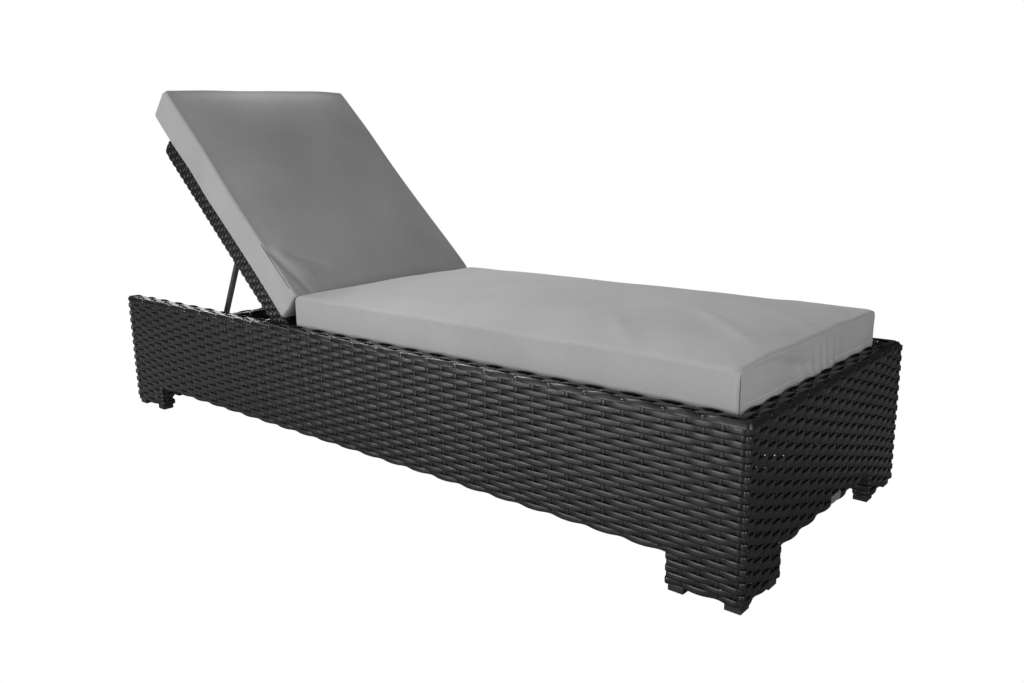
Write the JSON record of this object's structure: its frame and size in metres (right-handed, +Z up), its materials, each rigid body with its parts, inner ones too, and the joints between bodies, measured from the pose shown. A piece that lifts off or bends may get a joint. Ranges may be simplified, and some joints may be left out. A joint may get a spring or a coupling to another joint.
{
  "type": "reclining sun lounger",
  "caption": "Low woven-resin sun lounger with L-shaped legs, seat and back cushions, and a backrest that reclines on a tube prop.",
  "frame": {"origin": "on the floor under the middle of the base", "axes": "+Y from the foot end towards the head end, +X to the right seen from the foot end, +Z up"},
  "size_m": [0.74, 2, 0.9019],
  "materials": {
    "woven_resin": "satin black woven resin strand",
    "frame_tube": "matte black powder coat",
    "black_metal": "satin black powder coat",
    "cushion_fabric": "plain woven outdoor fabric, mid grey",
    "black_plastic": "moulded black plastic",
    "fasteners": "plain steel",
    "tag_metal": "satin, blank"
  },
  "bodies": {
    "base": {"corner_posts": "frame_tube", "glides_foot_left": "black_plastic", "glides_foot_right": "black_plastic", "glides_head_left": "black_plastic", "glides_head_right": "black_plastic", "hinge_bolts": "fasteners", "hinge_bracket_left": "black_metal", "hinge_bracket_right": "black_metal", "hinge_cross_tube": "frame_tube", "hinge_nuts": "fasteners", "leg_stub_posts": "frame_tube", "rack_left": "black_metal", "rack_right": "black_metal", "rack_screws": "fasteners", "rail_bottom_foot": "frame_tube", "rail_bottom_head": "frame_tube", "rail_bottom_left": "frame_tube", "rail_bottom_right": "frame_tube", "rail_top_foot": "frame_tube", "rail_top_head": "frame_tube", "rail_top_left": "frame_tube", "rail_top_right": "frame_tube", "seat_cross_tubes": "frame_tube", "seat_cushion": "cushion_fabric", "seat_deck_weave": "woven_resin", "tag_plate": "tag_metal", "uprights_foot": "frame_tube", "uprights_head": "frame_tube", "uprights_left": "frame_tube", "uprights_right": "frame_tube", "weave_foot_end": "woven_resin", "weave_head_end": "woven_resin", "weave_leg_foot_left": "woven_resin", "weave_leg_foot_right": "woven_resin", "weave_leg_head_left": "woven_resin", "weave_leg_head_right": "woven_resin", "weave_side_left": "woven_resin", "weave_side_right": "woven_resin"},
    "backrest": {"back_cross_tube": "frame_tube", "back_hinge_tabs": "black_metal", "back_panel_weave": "woven_resin", "back_tube_bottom": "frame_tube", "back_tube_left": "frame_tube", "back_tube_right": "frame_tube", "back_tube_top": "frame_tube", "back_wrap_bottom": "woven_resin", "back_wrap_left": "woven_resin", "back_wrap_right": "woven_resin", "back_wrap_top": "woven_resin", "hinge_bushes": "black_plastic", "bail_lugs": "black_metal", "bail_pivot_bolts": "fasteners", "bail_washers": "black_plastic"},
    "bail": {"bail_end_caps": "black_plastic", "bail_foot_bar": "black_metal", "bail_leg_left": "black_metal", "bail_leg_right": "black_metal"},
    "back_cushion": {"back_cushion": "cushion_fabric"}
  },
  "joints": [
    {"name": "backrest_recline", "type": "hinge", "parent": "base", "child": "backrest", "pos_m": [0, 0.262, 0.284], "axis": [1, 0, 0], "range_deg": [-43.5, 11.5]},
    {"name": "bail_swing", "type": "hinge", "parent": "backrest", "child": "bail", "pos_m": [0, 0.52459, 0.53318], "axis": [1, 0, 0], "range_deg": [-26.3, 99.35]},
    {"name": "back_cushion_shift", "type": "slide", "parent": "backrest", "child": "back_cushion", "axis": [0, 0.7254, 0.6884], "range_m": [-0.0842, 0.0223]}
  ],
  "couplings": [
    {"joint": "bail_swing", "follows": "backrest_recline", "ratio": -2.2828},
    {"joint": "back_cushion_shift", "follows": "backrest_recline", "m_per_rad": 0.1107}
  ]
}
